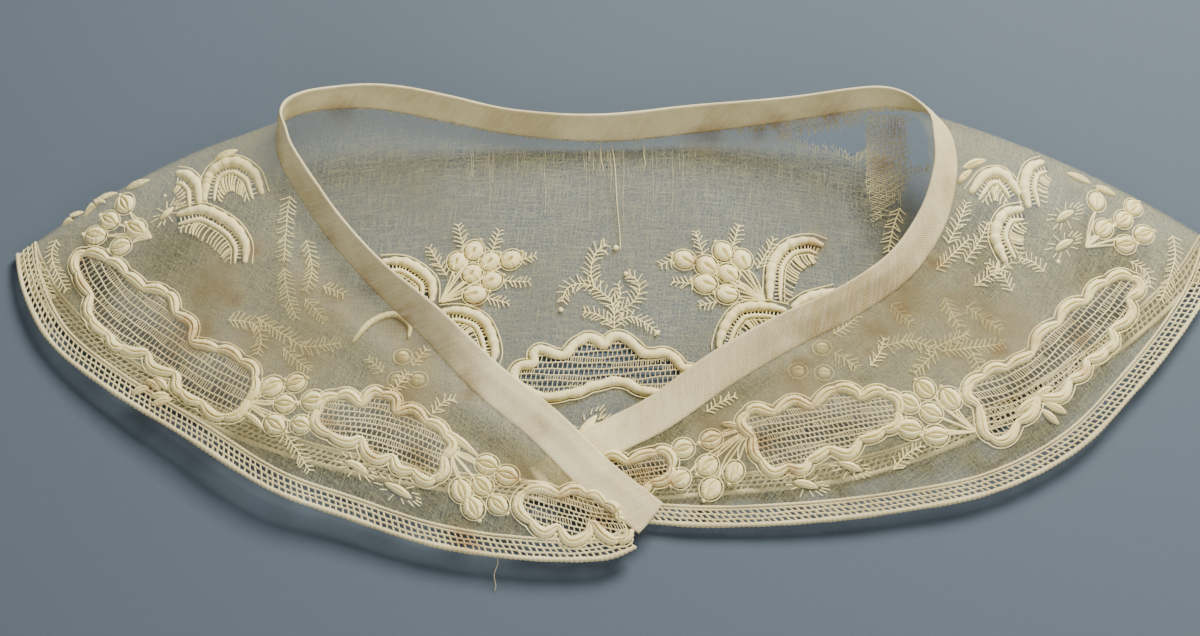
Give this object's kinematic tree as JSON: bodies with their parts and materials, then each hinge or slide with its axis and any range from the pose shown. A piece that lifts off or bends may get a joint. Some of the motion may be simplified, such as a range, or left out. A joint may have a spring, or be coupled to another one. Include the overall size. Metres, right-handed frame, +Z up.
{
  "type": "embroidered collar",
  "caption": "Folded muslin collar with a bias neckband, drawn net hem, scalloped net panels and padded white embroidery of berries and plumes.",
  "frame": {"origin": "middle of the collar's outline, on the surface that it lies on", "axes": "+X to the right along the collar, +Y from the front ends towards the back of the neck, +Z up"},
  "size_m": [0.3252, 0.1295, 0.0284],
  "materials": {
    "muslin": "sheer old cotton muslin, greyed cream, with a fine plain weave and faint brown age stains",
    "bias_band": "folded bias strip of closer cotton, tan cream, matt, with a fine diagonal weave",
    "net_edging": "drawn thread net between two rolled edges, cream, matt",
    "white_embroidery": "padded satin stitch in soft cotton thread, ivory with a slight sheen and brown spots"
  },
  "bodies": {
    "root": {"muslin_ground": "muslin", "neckband": "bias_band", "hem_edging": "net_edging", "panel_border_left_end": "white_embroidery", "panel_border_left_front": "white_embroidery", "panel_border_left_side": "white_embroidery", "panel_border_back": "white_embroidery", "panel_border_right_side": "white_embroidery", "panel_border_right_front": "white_embroidery", "panel_border_right_end": "white_embroidery", "berries_left_side": "white_embroidery", "berries_left_front": "white_embroidery", "berries_left_shoulder": "white_embroidery", "berries_back_left": "white_embroidery", "berries_back_right": "white_embroidery", "berries_right_shoulder": "white_embroidery", "berries_right_side": "white_embroidery", "berries_right_front": "white_embroidery", "plumes_back_left": "white_embroidery", "plumes_back_right": "white_embroidery", "plumes_left_shoulder": "white_embroidery", "plumes_right_shoulder": "white_embroidery"}
  },
  "joints": []
}
